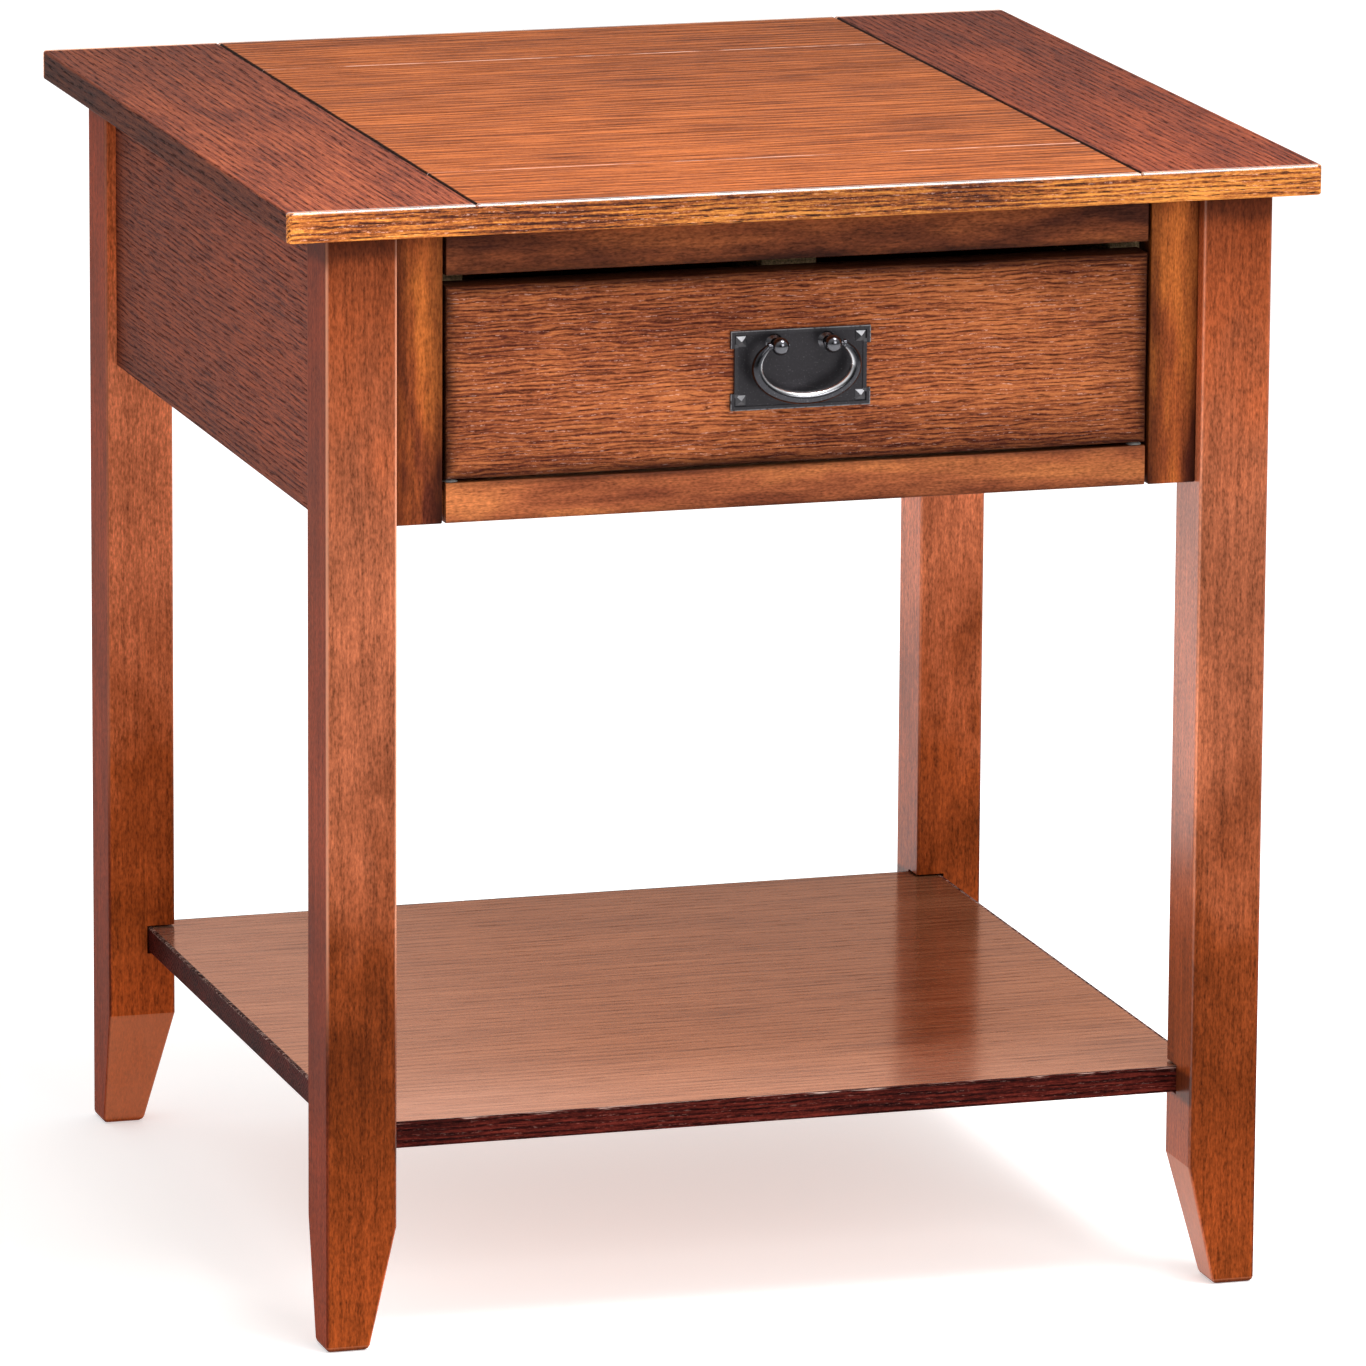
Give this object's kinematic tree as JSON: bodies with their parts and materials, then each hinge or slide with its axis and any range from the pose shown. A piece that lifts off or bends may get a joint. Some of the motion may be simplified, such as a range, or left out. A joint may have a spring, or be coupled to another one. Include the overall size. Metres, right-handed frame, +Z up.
{
  "type": "side table with drawer",
  "caption": "Square-legged wooden side table with a flush drawer, a metal bail pull and a lower shelf.",
  "frame": {"origin": "on the floor, under the middle of the table", "axes": "+X to the right seen from the front, +Y to the rear (the drawer opens towards -Y), +Z up"},
  "size_m": [0.56, 0.53, 0.608],
  "materials": {
    "oak_band": "satin red-brown stained oak, grain front to back",
    "oak_field": "satin orange-brown stained oak, grain left to right",
    "oak_lipping": "satin amber oak with dark open pores",
    "leg_wood": "satin orange-brown stained close-grained hardwood",
    "oak_panel": "satin red-brown oak",
    "frame_wood": "satin orange-brown stained hardwood with dark glaze at the joints",
    "raw_wood": "unfinished light hardwood",
    "drawer_box_wood": "clear-sealed light hardwood",
    "drawer_bottom_ply": "thin clear-sealed plywood",
    "drawer_face": "satin red-brown open-grained oak",
    "shelf_top": "satin tan-brown oak veneer",
    "shelf_edge": "satin dark red-brown edging",
    "nylon": "white nylon",
    "screw_steel": "plated screw",
    "pin_steel": "plain steel pin",
    "black_iron": "satin black lacquer over cast metal",
    "bail_iron": "black lacquer rubbed bright on the edges"
  },
  "bodies": {
    "table": {"top_left_band": "oak_band", "top_right_band": "oak_band", "top_front_board": "oak_field", "top_middle_board": "oak_field", "top_rear_board": "oak_field", "top_front_lipping": "oak_lipping", "top_rear_lipping": "oak_lipping", "front_left_leg": "leg_wood", "front_left_corner_block": "raw_wood", "front_right_leg": "leg_wood", "front_right_corner_block": "raw_wood", "rear_left_leg": "leg_wood", "rear_left_corner_block": "raw_wood", "rear_right_leg": "leg_wood", "rear_right_corner_block": "raw_wood", "left_side_panel": "oak_panel", "front_left_stile": "frame_wood", "left_runner": "raw_wood", "left_guide": "raw_wood", "left_kicker": "raw_wood", "shelf_left_band": "shelf_edge", "right_side_panel": "oak_panel", "front_right_stile": "frame_wood", "right_runner": "raw_wood", "right_guide": "raw_wood", "right_kicker": "raw_wood", "shelf_right_band": "shelf_edge", "back_panel": "oak_panel", "front_top_rail": "frame_wood", "front_bottom_rail": "frame_wood", "centre_kicker": "raw_wood", "open_stop_block": "raw_wood", "closed_stops": "raw_wood", "drawer_glides": "nylon", "corner_screws": "screw_steel", "top_screws": "screw_steel", "shelf_pins": "pin_steel", "shelf_board": "shelf_top", "shelf_front_band": "shelf_edge", "shelf_rear_band": "shelf_edge"},
    "drawer": {"drawer_front": "drawer_face", "drawer_left_side": "drawer_box_wood", "drawer_right_side": "drawer_box_wood", "drawer_back": "drawer_box_wood", "drawer_bottom": "drawer_bottom_ply", "drawer_stop_button": "raw_wood", "handle_backplate": "black_iron", "handle_left_post": "black_iron", "handle_right_post": "black_iron", "handle_screws": "screw_steel"},
    "bail": {"handle_bail": "bail_iron"}
  },
  "joints": [
    {"name": "drawer_slide", "type": "slide", "parent": "table", "child": "drawer", "axis": [0, -1, 0], "range_m": [0, 0.32]},
    {"name": "bail_pivot", "type": "hinge", "parent": "drawer", "child": "bail", "pos_m": [0, -0.257, 0.5245], "axis": [-1, 0, 0], "range_deg": [-12, 180]}
  ]
}
